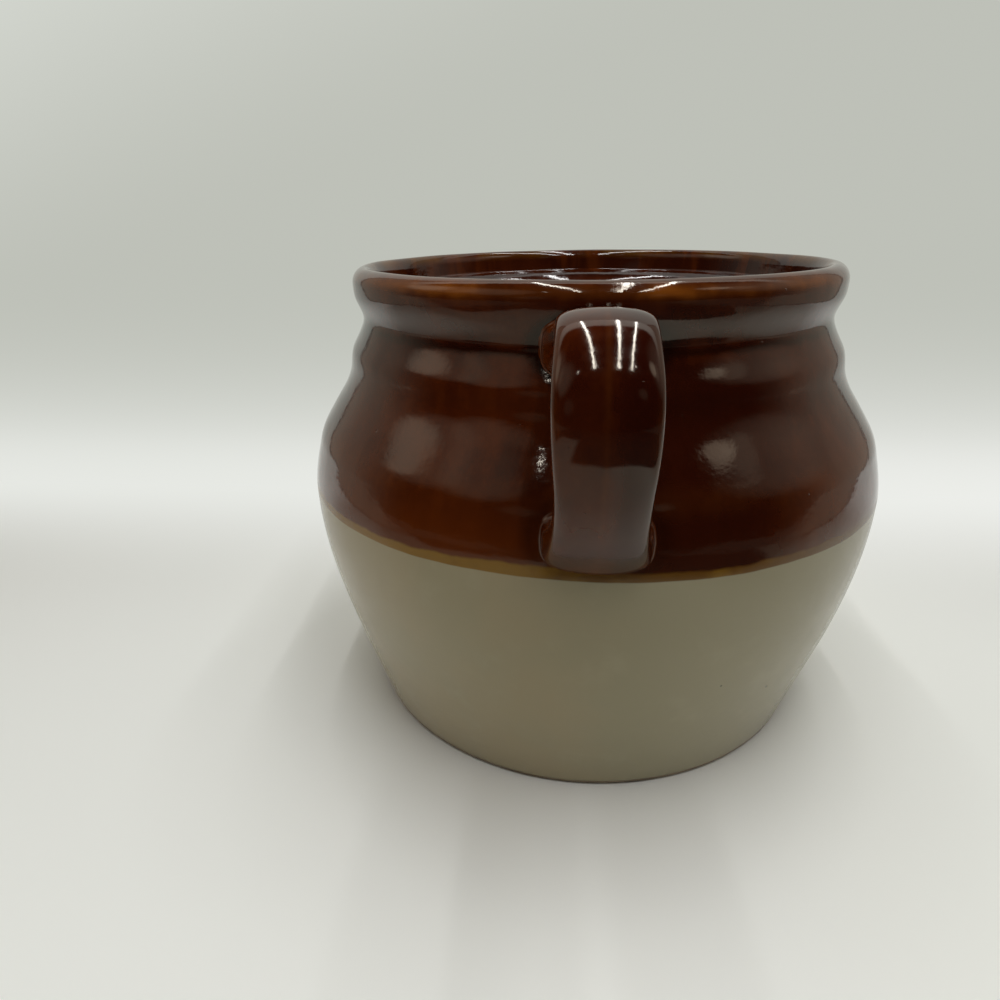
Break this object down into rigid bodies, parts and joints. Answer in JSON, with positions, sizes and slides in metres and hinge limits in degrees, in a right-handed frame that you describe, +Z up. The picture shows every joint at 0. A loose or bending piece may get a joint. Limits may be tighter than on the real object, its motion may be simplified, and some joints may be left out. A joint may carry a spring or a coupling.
{
  "type": "stoneware bean pot",
  "caption": "Round-bellied glazed stoneware pot with a rolled rim, an inner lid ledge and a pulled strap handle; brown glaze above, cream below.",
  "frame": {"origin": "centre of the foot, on the surface that the pot stands on", "axes": "+Z up along the pot's axis, out of the mouth; the strap handle is on the -Y side; X runs across the handle, and YZ is the pot's one plane of symmetry"},
  "size_m": [0.19, 0.2123, 0.1472],
  "materials": {
    "bare_clay": "unglazed fired stoneware, matt",
    "slip": "fired slip, matt",
    "cream_glaze": "glossy glaze with fine pinholes",
    "amber_glaze": "glossy thin glaze",
    "brown_glaze": "high gloss, amber where it runs thin",
    "liner_glaze": "gloss"
  },
  "bodies": {
    "root": {"stoneware_body": "bare_clay", "strap_handle": "bare_clay", "upper_slip_joint": "slip", "lower_slip_joint": "slip", "cream_glaze_outer": "cream_glaze", "amber_glaze_line": "amber_glaze", "brown_glaze_outer": "brown_glaze", "brown_glaze_liner": "liner_glaze", "handle_glaze": "brown_glaze"}
  },
  "joints": []
}
